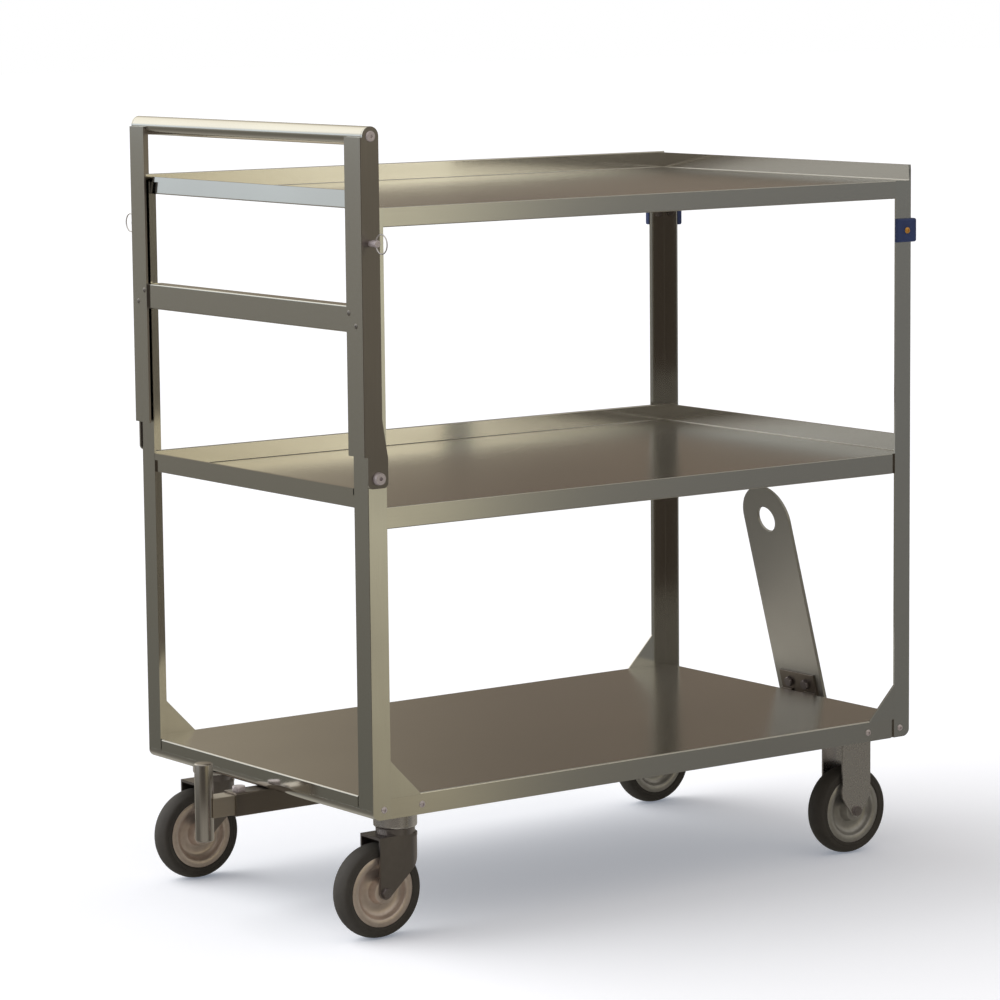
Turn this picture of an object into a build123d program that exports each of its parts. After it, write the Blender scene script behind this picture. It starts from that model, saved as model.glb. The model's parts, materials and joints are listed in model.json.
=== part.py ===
from build123d import *
import os
from math import cos, radians, sin, sqrt

# Meal delivery cart: two tray shelves over a low deck on four corner legs, swivel casters at the
# handle end, rigid casters at the tow end, a handle frame that folds outwards, and towing gear.
# Millimetres. +Z is up, +X runs from the handle end to the tow end, -Y is the near (open) side.

# Frame
frame_length = 927.5
frame_width = 555.5
leg_side = 29.0
leg_end = 32.0
leg_sheet = 2.5
leg_bend = 1.0

# Shelves
top_level = 960.0
middle_level = 576.0
shelf_sheet = 1.5
top_apron = 25.0
middle_apron = 28.0
rim_height = 24.0
top_end_rim = 21.8
top_rim_lean = 1.6
rim_cove = 1.0
hem_height = 9.0
hem_reach = 3.0
hem_gap = 1.5
apron_bend = 0.8
apron_foot_round = 1.2
apron_gap = 6.0
shelf_tab = 20.0

# Deck and the end rails below it
deck_apron = 29.0
deck_bend = 2.0
deck_end_gap = 2.5
rail_width = 132.0
rail_nose = 12.0
rail_lip = 13.0
seam_gap = 0.2

# Corner gussets and frame screws
gusset_sheet = 2.5
gusset_reach = 46.0
gusset_rise = 47.0
screw_radius = 3.0
screw_head_radius = 4.5
screw_head_height = 2.2
screw_nut_height = 4.0
leg_screw_from_end = 18.0
apron_screw_from_end = 78.0
screw_above_foot = 13.0

# Corner bumpers at the tow end
bumper_depth = 7.0
bumper_height = 33.0
bumper_level = 890.5
bumper_overlap = 1.3
bumper_screw_from_end = 13.5
bumper_round = 3.0

# Handle frame
upright_face = 36.5
upright_sheet = 3.0
upright_standoff = 4.5
upright_bend = 1.0
pivot_from_end = 13.5
pivot_level = 615.0
pivot_radius = 5.0
pivot_head_radius = 8.5
pivot_head_height = 6.0
pivot_nut_height = 6.0
pivot_washer_radius = 11.0
pivot_washer_sheet = 1.0
tail_width = 31.0
tail_drop = 13.0
tail_round = 7.0
tail_taper_low = 25.0
tail_taper_high = 75.0
face_above_pivot = 28.0
face_below_tube_axis = 1.2
handle_level = 1051.2
handle_tube_radius = 12.5
handle_tube_wall = 1.6
tube_plug_depth = 20.0
tube_screw_head_radius = 7.2
cross_bar_low = 801.0
cross_bar_height = 34.6
cross_bar_depth = 20.0
cross_bar_sheet = 2.5
cross_bar_bend = 2.0
rivet_radius = 2.4
rivet_head_radius = 3.6
rivet_head_height = 0.9
rivet_inset = 11.0
rivet_pitch = 16.0

# Lock pins with pull rings
lock_from_end = 6.5
lock_level = 916.0
lock_radius = 4.0
lock_stroke = 6.0
lock_head_radius = 4.6
lock_head_length = 10.5
ring_radius = 12.4
ring_wire = 0.9
ring_eye_radius = 2.0
ring_eye_from_face = 12.5

# Towing gear
draw_tube_size = 32.0
draw_tube_wall = 2.5
draw_tube_reach = 42.0
drawbar_clearance = 0.4
drawbar_depth = 100.0
drawbar_bolt_from_end = 28.0
drawbar_bolt_radius = 5.0
drawbar_bolt_flats = 17.0
drawbar_bolt_head = 6.5
hitch_pin_from_end = 83.0
hitch_pin_radius = 12.5
hitch_pin_low = 107.5
hitch_pin_high = 213.5
hitch_neck = 0.3
hitch_pin_chamfer = 1.5

# Tow tongue and its hinge
tongue_lean = 14.5
tongue_width = 102.0
tongue_sheet = 5.0
tongue_hole_radius = 19.0
tongue_hole_from_axis = 285.0
tongue_foot = 4.0
hinge_from_end = 31.6
knuckle_radius = 7.0
hinge_pin_radius = 4.0
hinge_pin_head_radius = 6.0
hinge_pin_head = 2.5
hinge_width = 76.0
hinge_leaf_sheet = 3.5
hinge_leaf_start = 9.0
hinge_leaf_length = 43.0
middle_knuckle = 28.0
stop_ear = 16.0
tongue_bolt_radius = 4.0
tongue_bolt_flats = 14.0
tongue_bolt_head = 5.0
tongue_bolt_spread = 18.0
tongue_bolt_from_axis = 27.0

# Casters
caster_from_end = 72.0
caster_from_side = 54.0
caster_trail = 31.0
caster_plate_length = 100.0
caster_plate_width = 76.0
caster_plate_sheet = 3.0
caster_plate_corner = 6.5
caster_bolt_radius = 4.0
caster_bolt_head_radius = 6.5
caster_bolt_head = 2.2
caster_bolt_nut = 6.4
caster_bolt_spread_x = 39.0
caster_bolt_spread_y = 29.0
wheel_radius = 63.5
wheel_headroom = 6.6
tread_width = 32.0
tread_crown = 4.5
tyre_lip = 3.0
tyre_lean = 1.0
bead_step = 1.5
tyre_depth = 16.0
hub_length = 38.0
hub_ring = 9.5
hub_web = 9.6
hub_boss_radius = 15.0
hub_draft = 4.0
hub_cove = 6.0
fork_inside = 40.0
fork_sheet = 3.0
fork_end_radius = 9.0
fork_back = 22.0
fork_heel_radius = 24.0
fork_roll_radius = 20.0
fork_roll_angle = 40.0
rigid_fork_width = 52.0
rigid_taper = 21.0
axle_radius = 4.0
axle_flats = 13.0
axle_head = 4.5
sleeve_radius = 7.0
race_radius = 29.0
race_height = 20.5
race_round = 3.0
cup_radius = 26.0
cup_height = 8.0
crown_sheet = 3.5
crown_front = 40.0
crown_radius = 29.0
king_pin_radius = 7.0
king_nut_flats = 21.0
king_nut_height = 5.5

# Shares of a fastener's own size
nut_share = 1.5
head_round = 0.7

# Clearances
running = 0.05
side_play = 0.4
bolt_play = 0.3
swing_gap = 0.3

# Levels and planes that follow from the sizes above
half_width = frame_width / 2
rim_radius = wheel_radius - tyre_depth
inner_side = half_width - leg_sheet
crown_low = 2 * wheel_radius + wheel_headroom
crown_top = crown_low + crown_sheet
race_low = crown_top + cup_height + side_play
plate_low = race_low + race_height
foot_level = plate_low + caster_plate_sheet
deck_level = foot_level + deck_apron
nose_top = foot_level + rail_lip
leg_flange_foot = nose_top + seam_gap
leg_top = top_level + rim_height - hem_height
mid_frame = Plane.YZ.offset(frame_length / 2)


def block(x, y, z):
    """Box between three (low, high) pairs."""
    size = [pair[1] - pair[0] for pair in (x, y, z)]
    return Pos(x[0], y[0], z[0]) * Box(*size, align=(Align.MIN, Align.MIN, Align.MIN))


def rod(radius, start, end):
    """Round bar between two points."""
    run = Vector(*end) - Vector(*start)
    bar = Cylinder(radius, run.length, align=(Align.CENTER, Align.CENTER, Align.MIN))
    return Plane(start, z_dir=run) * bar


def across(profile, y):
    """XZ profile extruded between two Y values."""
    return Pos(0, y[0], 0) * extrude(Plane.XZ * profile, amount=y[1] - y[0], dir=(0, 1, 0))


def along(profile, x):
    """YZ profile extruded between two X values."""
    return Pos(x[0], 0, 0) * extrude(Plane.YZ * profile, amount=x[1] - x[0], dir=(1, 0, 0))


def round_corners(profile, corners):
    """Round profile corners, each given as (point, radius)."""
    for point, radius in corners:
        corner = profile.vertices().sort_by_distance((point[0], point[1], 0))[0]
        profile = fillet(corner, radius)
    return profile


def far_side(shape):
    return mirror(shape, about=Plane.XZ)


def tow_end(shape):
    return mirror(shape, about=mid_frame)


def four_corners(shape):
    """One piece repeated at both ends and on both sides."""
    near_pair = [shape, tow_end(shape)]
    return near_pair + [far_side(item) for item in near_pair]


def hex_prism(flats, z, bore=0.0):
    prism = Pos(0, 0, z[0]) * extrude(RegularPolygon(flats / 2, 6, major_radius=False), amount=z[1] - z[0])
    if bore:
        prism = prism - rod(bore, (0, 0, z[0]), (0, 0, z[1]))
    return prism


def hex_bolt(seat, direction, radius, grip, flats, head):
    """Hex bolt and nut: the head sits at the seat and the shank runs along the direction."""
    nut = nut_share * radius
    bolt = hex_prism(flats, (-head, 0)) + rod(radius, (0, 0, 0), (0, 0, grip + nut + radius / 2))
    place = Plane(seat, z_dir=direction)
    return [place * bolt, place * hex_prism(flats, (grip, grip + nut), radius + running)]


def button_head(radius, height):
    """Low head on the plane z=0, its rim rounded by most of its height."""
    return fillet(rod(radius, (0, 0, -height), (0, 0, 0)).edges().sort_by(Axis.Z)[0], head_round * height)


def button_screw(seat, direction, grip, radius, head_radius, head, nut):
    """Button-head screw and nut, placed like hex_bolt."""
    screw = button_head(head_radius, head) + rod(radius, (0, 0, 0), (0, 0, grip + nut))
    place = Plane(seat, z_dir=direction)
    return [place * screw, place * hex_prism(2 * head_radius, (grip, grip + nut), radius + running)]


pieces = {}

# Legs: bent angles; the side flange has a rounded foot, the end flange stops above the rail's nose
near = -half_width


def make_leg(side_top):
    angle = Polygon(
        (0, near),
        (leg_side, near),
        (leg_side, near + leg_sheet),
        (leg_sheet, near + leg_sheet),
        (leg_sheet, near + leg_end),
        (0, near + leg_end),
        align=None,
    )
    angle = round_corners(angle, [((0, near), leg_bend)])
    leg = Pos(0, 0, foot_level) * extrude(angle, amount=leg_top - foot_level)
    corners = [(0, foot_level), (leg_side, foot_level), (leg_side, leg_top), (0, leg_top)]
    outline = Polygon(*corners, align=None)
    outline = round_corners(outline, [((0, foot_level), rail_nose)])
    leg = leg & across(outline, (near, near + leg_end))
    leg -= block((0, leg_sheet), (near + leg_sheet, near + leg_end), (foot_level, leg_flange_foot))
    if side_top < leg_top:
        leg -= block((leg_sheet, leg_side), (near, near + leg_sheet), (side_top, leg_top))
    return leg


def side_hole(x, z, radius):
    return rod(radius, (x, near - bumper_depth, z), (x, near + leg_end, z))


frame_hole = side_hole(leg_screw_from_end, foot_level + screw_above_foot, screw_radius + bolt_play)
handle_holes = side_hole(pivot_from_end, pivot_level, pivot_radius + bolt_play)
handle_holes += side_hole(lock_from_end, lock_level, lock_radius + bolt_play)
bumper_hole = side_hole(bumper_screw_from_end, bumper_level, screw_radius + bolt_play)
open_leg = make_leg(top_level) - frame_hole
rim_leg = make_leg(leg_top) - frame_hole
pieces["leg_handle_near"] = open_leg - handle_holes
pieces["leg_handle_far"] = far_side(rim_leg - handle_holes)
pieces["leg_tow_near"] = tow_end(open_leg - bumper_hole)
pieces["leg_tow_far"] = far_side(tow_end(rim_leg - bumper_hole))


# Shelves: pans with three hemmed rims turned up and the near edge turned down. The end rims of the top
# shelf are lower than its long rim and lean inwards
def make_shelf(level, apron, end_height, lean):
    under = level - shelf_sheet
    rim_top = level + rim_height
    hem_low = rim_top - hem_height
    rim_in = inner_side - shelf_sheet
    section = Polygon(
        (near, level - apron),
        (near, level),
        (rim_in, level),
        (rim_in, rim_top),
        (inner_side + hem_reach, rim_top),
        (inner_side + hem_reach, hem_low),
        (inner_side, hem_low),
        (inner_side, under),
        (near + shelf_sheet, under),
        (near + shelf_sheet, level - apron),
        align=None,
    )
    section = round_corners(
        section,
        [
            ((near, level), apron_bend),
            ((near, level - apron), apron_foot_round),
            ((rim_in, level), rim_cove),
            ((inner_side, under), rim_cove + shelf_sheet),
            ((rim_in, rim_top), shelf_sheet),
            ((inner_side + hem_reach, rim_top), shelf_sheet),
        ],
    )
    shelf = along(section, (leg_sheet, frame_length - leg_sheet))
    end_top = level + end_height
    top_out = leg_sheet + lean
    hem_root = leg_sheet + lean * (hem_low - under) / (end_top - under)
    rim_face = leg_sheet + shelf_sheet
    rim_foot = rim_face + hem_reach
    rim = Polygon(
        (leg_sheet, under),
        (hem_root, hem_low),
        (hem_root - hem_reach, hem_low),
        (top_out - hem_reach, end_top),
        (top_out + shelf_sheet, end_top),
        (rim_face, level),
        (rim_foot, level),
        (rim_foot, under),
        align=None,
    )
    rim = round_corners(rim, [((rim_face, level), rim_cove)])
    end_rim = across(rim, (near, inner_side))
    return shelf + end_rim + tow_end(end_rim)


def leg_space(side_gap, end_gap, low, high):
    """Space of one corner leg, with gaps past the edges of its two flanges."""
    side = block((-hem_reach, leg_side + side_gap), (near - hem_reach, near + leg_sheet), (low, high))
    end = block((-hem_reach, leg_sheet), (near - hem_reach, near + leg_end + end_gap), (low, high))
    return side + end


top_shelf = make_shelf(top_level, top_apron, top_end_rim, top_rim_lean)
top_spaces = leg_space(0, 0, 0, top_level)
pieces["top_shelf"] = top_shelf - [top_spaces, tow_end(top_spaces)]
middle_shelf = make_shelf(middle_level, middle_apron, rim_height, 0)
middle_low = middle_level - middle_apron
middle_high = middle_level + 2 * rim_height
near_space = leg_space(0, hem_gap, middle_low, middle_high)
near_tow_space = tow_end(leg_space(apron_gap, hem_gap, middle_low, middle_high))
far_space = far_side(leg_space(hem_gap, hem_gap, middle_low, middle_high))
middle_shelf -= [near_space, near_tow_space, far_space, tow_end(far_space)]
tab = block(
    (leg_sheet, leg_side + shelf_tab),
    (near + leg_sheet, near + leg_sheet + shelf_sheet),
    (middle_low, middle_level - shelf_sheet / 2),
)
pieces["middle_shelf"] = middle_shelf + tab + tow_end(tab)


# Bottom deck: a flat sheet with side aprons between the legs and short end flanges
def make_deck():
    under = deck_level - leg_sheet
    section = Polygon(
        (near, foot_level),
        (near, deck_level),
        (half_width, deck_level),
        (half_width, foot_level),
        (inner_side, foot_level),
        (inner_side, under),
        (-inner_side, under),
        (-inner_side, foot_level),
        align=None,
    )
    section = round_corners(section, [((y, deck_level), deck_bend) for y in (near, half_width)])
    deck = along(section, (leg_side, frame_length - leg_side - apron_gap))
    deck += block((leg_sheet, frame_length - leg_sheet), (-inner_side, inner_side), (under, deck_level))
    flange = Polygon(
        (0, leg_flange_foot),
        (0, deck_level),
        (2 * deck_bend, deck_level),
        (2 * deck_bend, under),
        (leg_sheet, under),
        (leg_sheet, leg_flange_foot),
        align=None,
    )
    flange = round_corners(flange, [((0, deck_level), deck_bend)])
    flange_half = half_width - leg_end - deck_end_gap
    end_flange = across(flange, (-flange_half, flange_half))
    return deck + end_flange + tow_end(end_flange)


apron_hole = side_hole(apron_screw_from_end, foot_level + screw_above_foot, screw_radius + bolt_play)
gusset_end = leg_side + gusset_reach
gusset_foot = deck_level - leg_sheet
gusset_space = block(
    (leg_side, gusset_end + seam_gap),
    (near, near + gusset_sheet + seam_gap),
    (gusset_foot, deck_level),
)
pieces["bottom_deck"] = make_deck() - four_corners(apron_hole) - four_corners(gusset_space)


# End rails: closed channels under the deck with a rounded nose and a bottom plate for the casters
def make_rail():
    top = deck_level - leg_sheet
    shell = Polygon(
        (0, foot_level),
        (0, nose_top),
        (leg_sheet, nose_top),
        (leg_sheet, top),
        (rail_width, top),
        (rail_width, foot_level),
        align=None,
    )
    shell = round_corners(shell, [((0, foot_level), rail_nose), ((rail_width, foot_level), leg_bend)])
    hollow = Polygon(
        (leg_sheet, foot_level + leg_sheet),
        (leg_sheet, nose_top - leg_sheet),
        (2 * leg_sheet, nose_top - leg_sheet),
        (2 * leg_sheet, top),
        (rail_width - leg_sheet, top),
        (rail_width - leg_sheet, foot_level + leg_sheet),
        align=None,
    )
    hollow = round_corners(hollow, [((leg_sheet, foot_level + leg_sheet), rail_nose / 2)])
    rail = across(shell, (-inner_side, inner_side))
    return rail - across(hollow, (-inner_side + leg_sheet, inner_side - leg_sheet))


caster_y = half_width - caster_from_side
bolt_places = [(dx, dy) for dx in (-caster_bolt_spread_x, caster_bolt_spread_x)
               for dy in (-caster_bolt_spread_y, caster_bolt_spread_y)]


def caster_holes(x, y):
    """Bolt holes through a caster's plate and the rail above it."""
    high = foot_level + leg_sheet
    return [rod(caster_bolt_radius + bolt_play, (x + dx, y + dy, plate_low), (x + dx, y + dy, high))
            for dx, dy in bolt_places]


end_rail = make_rail() - [frame_hole, apron_hole, far_side(frame_hole), far_side(apron_hole)]
end_rail = end_rail - caster_holes(caster_from_end, caster_y) - caster_holes(caster_from_end, -caster_y)
pieces["end_rail_handle"] = end_rail
pieces["end_rail_tow"] = tow_end(end_rail)

# Corner gussets: triangular plates let into the deck's edge, flush with the legs and the aprons
gusset_outline = Polygon(
    (leg_side, gusset_foot),
    (gusset_end, gusset_foot),
    (gusset_end, deck_level),
    (leg_side, deck_level + gusset_rise),
    align=None,
)
gusset = across(gusset_outline, (near, near + gusset_sheet))
for place, item in zip(("handle_near", "tow_near", "handle_far", "tow_far"), four_corners(gusset)):
    pieces["gusset_" + place] = item

# Frame screws: through the legs and the deck aprons into the closed ends of the rails
frame_screws = []
for screw_x in (leg_screw_from_end, apron_screw_from_end):
    frame_screws += button_screw(
        (screw_x, near, foot_level + screw_above_foot),
        (0, 1, 0),
        2 * leg_sheet,
        screw_radius,
        screw_head_radius,
        screw_head_height,
        screw_nut_height,
    )
pieces["frame_screws"] = [copy for item in frame_screws for copy in four_corners(item)]

# Corner bumpers: angle blocks round the legs at the tow end, each held by one screw
bumper_outline = Polygon(
    (-bumper_depth, near - bumper_depth),
    (leg_side + bumper_overlap, near - bumper_depth),
    (leg_side + bumper_overlap, near),
    (0, near),
    (0, near + leg_end + bumper_overlap),
    (-bumper_depth, near + leg_end + bumper_overlap),
    align=None,
)
bumper_outline = round_corners(
    bumper_outline,
    [((-bumper_depth, near - bumper_depth), bumper_depth), ((0, near), leg_bend)],
)
bumper = Pos(0, 0, bumper_level - bumper_height / 2) * extrude(bumper_outline, amount=bumper_height)
bumper = fillet(bumper.faces().sort_by(Axis.Y)[0].edges().filter_by(Axis.X), bumper_round)
bumper = tow_end(bumper - bumper_hole)
bumper_screw = button_screw(
    (bumper_screw_from_end, near - bumper_depth, bumper_level),
    (0, 1, 0),
    bumper_depth + leg_sheet,
    screw_radius,
    screw_head_radius,
    screw_head_height,
    screw_nut_height,
)
bumper_screw = [tow_end(item) for item in bumper_screw]
pieces["bumper_near"] = bumper
pieces["bumper_far"] = far_side(bumper)
pieces["bumper_screws"] = bumper_screw + [far_side(item) for item in bumper_screw]

# Handle uprights: angles standing off the legs, with a rounded top and a pivot tail
upright_in = -upright_standoff
upright_out = upright_in - upright_sheet
plate_in = near - pivot_washer_sheet
plate_out = plate_in - upright_sheet
face_low = pivot_level + face_above_pivot
face_high = handle_level - face_below_tube_axis
tube_left = upright_in + seam_gap
tube_x = tube_left + handle_tube_radius
side_edge = tube_x + handle_tube_radius
tail_left = pivot_from_end - tail_width / 2
tail_right = pivot_from_end + tail_width / 2
tail_low = pivot_level - tail_drop
corner = Polygon(
    (upright_out, plate_out),
    (side_edge, plate_out),
    (side_edge, plate_in),
    (upright_in, plate_in),
    (upright_in, plate_out + upright_face),
    (upright_out, plate_out + upright_face),
    align=None,
)
corner = round_corners(corner, [((upright_out, plate_out), upright_bend)])
upright = Pos(0, 0, face_low) * extrude(corner, amount=face_high - face_low)
side_plate = Polygon(
    (tail_left, tail_low),
    (tail_right, tail_low),
    (tail_right, pivot_level + tail_taper_low),
    (side_edge, pivot_level + tail_taper_high),
    (side_edge, handle_level),
    (tube_left, handle_level),
    (tube_left, face_high),
    (tail_left, face_high),
    align=None,
)
side_plate = round_corners(side_plate, [((x, tail_low), tail_round) for x in (tail_left, tail_right)])
side_plate += Pos(tube_x, handle_level) * Circle(handle_tube_radius)
upright += across(side_plate, (plate_out, plate_in))
upright -= side_hole(pivot_from_end, pivot_level, pivot_radius + running)
upright -= side_hole(lock_from_end, lock_level, lock_radius + running)
upright -= side_hole(tube_x, handle_level, screw_radius + bolt_play)

# Cross bar: a channel behind the uprights' faces, with flanges only between the legs
bar_end = half_width - leg_sheet
flange_end = half_width - leg_end - hem_reach
bar_high = cross_bar_low + cross_bar_height
bar_back = upright_in + cross_bar_sheet
cross_bar = block((upright_in, bar_back), (-bar_end, bar_end), (cross_bar_low, bar_high))
for low in (cross_bar_low, bar_high - cross_bar_sheet):
    flange_depth = (upright_in, upright_in + cross_bar_depth)
    cross_bar += block(flange_depth, (-flange_end, flange_end), (low, low + cross_bar_sheet))
bar_edges = cross_bar.edges().filter_by(Axis.Y).group_by(Axis.X)[0]
cross_bar = fillet(bar_edges, cross_bar_bend)
rivets = []
for step in (-1, 1):
    rivet_y = near + rivet_inset + rivet_pitch * (1 + step) / 2
    rivet_z = cross_bar_low + cross_bar_height / 2 + step * rivet_pitch / 2
    rivet_hole = rod(rivet_radius + running, (upright_out, rivet_y, rivet_z), (bar_back, rivet_y, rivet_z))
    upright -= rivet_hole
    cross_bar -= [rivet_hole, far_side(rivet_hole)]
    grip = bar_back - upright_out
    rivet = button_head(rivet_head_radius, rivet_head_height) + rod(rivet_radius, (0, 0, 0), (0, 0, grip))
    rivet += rod(rivet_head_radius, (0, 0, grip), (0, 0, grip + rivet_head_height / 2))
    rivet = Plane((upright_out, rivet_y, rivet_z), z_dir=(1, 0, 0)) * rivet
    rivets += [rivet, far_side(rivet)]
pieces["upright_near"] = upright
pieces["upright_far"] = far_side(upright)
pieces["cross_bar"] = cross_bar
pieces["cross_bar_rivets"] = rivets

# Handle tube between the uprights, held by a screw into a plug at each end
tube_half = -plate_in
tube_axis = ((tube_x, -tube_half, handle_level), (tube_x, tube_half, handle_level))
bore_radius = handle_tube_radius - handle_tube_wall
pieces["handle_tube"] = rod(handle_tube_radius, *tube_axis) - rod(bore_radius, *tube_axis)
plug_end = (tube_x, plate_in + tube_plug_depth, handle_level)
plug = rod(bore_radius, tube_axis[0], plug_end) - rod(screw_radius + running, tube_axis[0], plug_end)
tube_screw = button_head(tube_screw_head_radius, screw_head_height)
tube_screw += rod(screw_radius, (0, 0, 0), (0, 0, upright_sheet + tube_plug_depth))
tube_screw = Plane((tube_x, plate_out, handle_level), z_dir=(0, 1, 0)) * tube_screw
pieces["handle_tube_screws"] = [plug, tube_screw, far_side(plug), far_side(tube_screw)]

# Pivot bolts: a running fit in the uprights, nutted to the legs, with a washer between
washer_seat = (pivot_from_end, plate_in, pivot_level)
washer = rod(pivot_washer_radius, washer_seat, (pivot_from_end, near, pivot_level))
washer -= rod(pivot_radius + running, washer_seat, (pivot_from_end, near, pivot_level))
pivot_set = [washer] + button_screw(
    (pivot_from_end, plate_out - swing_gap, pivot_level),
    (0, 1, 0),
    swing_gap + upright_sheet + pivot_washer_sheet + leg_sheet,
    pivot_radius,
    pivot_head_radius,
    pivot_head_height,
    pivot_nut_height,
)
pieces["pivot_bolts"] = pivot_set + [far_side(item) for item in pivot_set]

# Lock pins, drawn back clear of the legs, and the rings in their heads
nose = near - pivot_washer_sheet / 2
head_face = plate_out - lock_stroke
head_tip = head_face - lock_head_length
nose_at, face_at, tip_at = [(lock_from_end, y, lock_level) for y in (nose, head_face, head_tip)]
lock_pin = rod(lock_radius, face_at, nose_at)
lock_pin = fillet(lock_pin.edges().sort_by(Axis.Y)[-1], lock_radius / 4)
lock_head = rod(lock_head_radius, tip_at, face_at)
lock_pin += fillet(lock_head.edges().sort_by(Axis.Y)[0], lock_head_radius / 4)
eye_y = plate_out - ring_eye_from_face
eye_ends = [(lock_from_end, eye_y, lock_level + height) for height in (-ring_radius, ring_radius)]
lock_pin -= rod(ring_eye_radius, *eye_ends)
ring_bow = (ring_radius - sqrt(ring_radius**2 - lock_head_radius**2)) / 2
ring_centre = Pos(lock_from_end, eye_y + ring_bow - ring_radius, lock_level)
pull_ring = ring_centre * (Rot(0, 90, 0) * Torus(ring_radius, ring_wire))
pieces["lock_pin_near"] = lock_pin
pieces["lock_pin_far"] = far_side(lock_pin)
pieces["pull_ring_near"] = pull_ring
pieces["pull_ring_far"] = far_side(pull_ring)

# Draw tube under the end rails, with the drawbar bolted into its handle end
tube_half_size = draw_tube_size / 2
tube_mid = foot_level - tube_half_size
hinge_x = frame_length + hinge_from_end
draw_tube_x = (-draw_tube_reach, hinge_x - 2 * swing_gap)
square = Pos(0, tube_mid) * RectangleRounded(draw_tube_size, draw_tube_size, draw_tube_wall)
bore_size = draw_tube_size - 2 * draw_tube_wall
square -= Pos(0, tube_mid) * Rectangle(bore_size, bore_size)
bolt_x = -drawbar_bolt_from_end
bolt_end = (bolt_x, 0, foot_level - draw_tube_size)
bolt_hole = rod(drawbar_bolt_radius + bolt_play, bolt_end, (bolt_x, 0, foot_level))
pieces["draw_tube"] = along(square, draw_tube_x) - bolt_hole
bar_size = bore_size - drawbar_clearance
bar_low = foot_level - draw_tube_size + draw_tube_wall
bar_top = bar_low + bar_size
pin_x = -hitch_pin_from_end
neck_radius = hitch_pin_radius - hitch_neck
drawbar_x = (pin_x + hitch_pin_radius / 2, drawbar_depth - draw_tube_reach)
drawbar = block(drawbar_x, (-bar_size / 2, bar_size / 2), (bar_low, bar_top))
drawbar -= rod(neck_radius + running, (pin_x, 0, bar_low), (pin_x, 0, bar_top))
pieces["drawbar"] = drawbar - bolt_hole
drawbar_bolt = hex_prism(drawbar_bolt_flats, (-drawbar_bolt_head, 0))
drawbar_bolt += rod(drawbar_bolt_radius, (0, 0, 0), (0, 0, draw_tube_size))
pieces["drawbar_bolt"] = Plane((bolt_x, 0, foot_level), z_dir=(0, 0, -1)) * drawbar_bolt

# Hitch pin: upright round bar, necked slightly where the drawbar is welded to it
hitch_pin = rod(hitch_pin_radius, (pin_x, 0, hitch_pin_low), (pin_x, 0, bar_low))
hitch_pin += rod(neck_radius, (pin_x, 0, bar_low), (pin_x, 0, bar_top))
hitch_pin += rod(hitch_pin_radius, (pin_x, 0, bar_top), (pin_x, 0, hitch_pin_high))
hitch_ends = hitch_pin.edges().filter_by(GeomType.CIRCLE).sort_by(Axis.Z)
pieces["hitch_pin"] = chamfer([hitch_ends[0], hitch_ends[-1]], hitch_pin_chamfer)

# Tongue hinge: base with two knuckles and stop ears on the draw tube, leaf with the middle knuckle
hinge_z = foot_level + knuckle_radius
hinge_half = hinge_width / 2
knuckle_half = middle_knuckle / 2
hinge_plane = Plane((hinge_x, 0, hinge_z), x_dir=(-sin(radians(tongue_lean)), 0, cos(radians(tongue_lean))),
                    z_dir=(0, 1, 0))


def on_tongue(up, out, y):
    """Box in the leaning frame of the tongue: up its length, out from its face, and across."""
    size = (up[1] - up[0], out[1] - out[0], y[1] - y[0])
    box = Pos(up[0], out[0], y[0]) * Box(*size, align=(Align.MIN, Align.MIN, Align.MIN))
    return hinge_plane * box


def hinge_rod(radius, y):
    return rod(radius, (hinge_x, y[0], hinge_z), (hinge_x, y[1], hinge_z))


leaf_out = knuckle_radius
leaf_in = knuckle_radius - hinge_leaf_sheet
outer_knuckle = (knuckle_half + swing_gap, hinge_half)
base_z = (foot_level, foot_level + hinge_leaf_sheet)
knuckle_gap = (-knuckle_half - swing_gap, knuckle_half + swing_gap)
base = block((frame_length + seam_gap, hinge_x), (-hinge_half, hinge_half), base_z)
base -= block((hinge_x - 2 * knuckle_radius, hinge_x), knuckle_gap, base_z)
ear = hinge_rod(knuckle_radius, outer_knuckle)
ear += on_tongue((0, stop_ear), (0, leaf_in - swing_gap), outer_knuckle)
base = base + ear + far_side(ear) - hinge_rod(hinge_pin_radius + running, (-hinge_half, hinge_half))
pieces["tongue_hinge_base"] = base
pin_end = hinge_half + side_play
hinge_pin = hinge_rod(hinge_pin_radius, (-pin_end, pin_end))
hinge_pin += hinge_rod(hinge_pin_head_radius, (pin_end, pin_end + hinge_pin_head))
hinge_pin += hinge_rod(hinge_pin_head_radius, (-pin_end - hinge_pin_head, -pin_end))
pieces["tongue_hinge_pin"] = hinge_pin
leaf = on_tongue((hinge_leaf_start, hinge_leaf_length), (leaf_in, leaf_out), (-hinge_half, hinge_half))
leaf += on_tongue((0, hinge_leaf_start), (leaf_in, leaf_out), (-knuckle_half, knuckle_half))
leaf += hinge_rod(knuckle_radius, (-knuckle_half, knuckle_half))
leaf -= hinge_rod(hinge_pin_radius + running, (-knuckle_half, knuckle_half))

# Tow tongue: a flat bar with a full round end and a hole for the next cart's hitch pin
tongue_out = leaf_out + tongue_sheet
tongue_half = tongue_width / 2
tongue_across = (-tongue_half, tongue_half)
tongue = on_tongue((tongue_foot, tongue_hole_from_axis), (leaf_out, tongue_out), tongue_across)
tongue_normal = (cos(radians(tongue_lean)), 0, sin(radians(tongue_lean)))


def through_tongue(radius, up, y, out):
    """Round bar square to the tongue's face."""
    ends = [hinge_plane.from_local_coords((up, depth, y)) for depth in out]
    return rod(radius, tuple(ends[0]), tuple(ends[1]))


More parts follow.
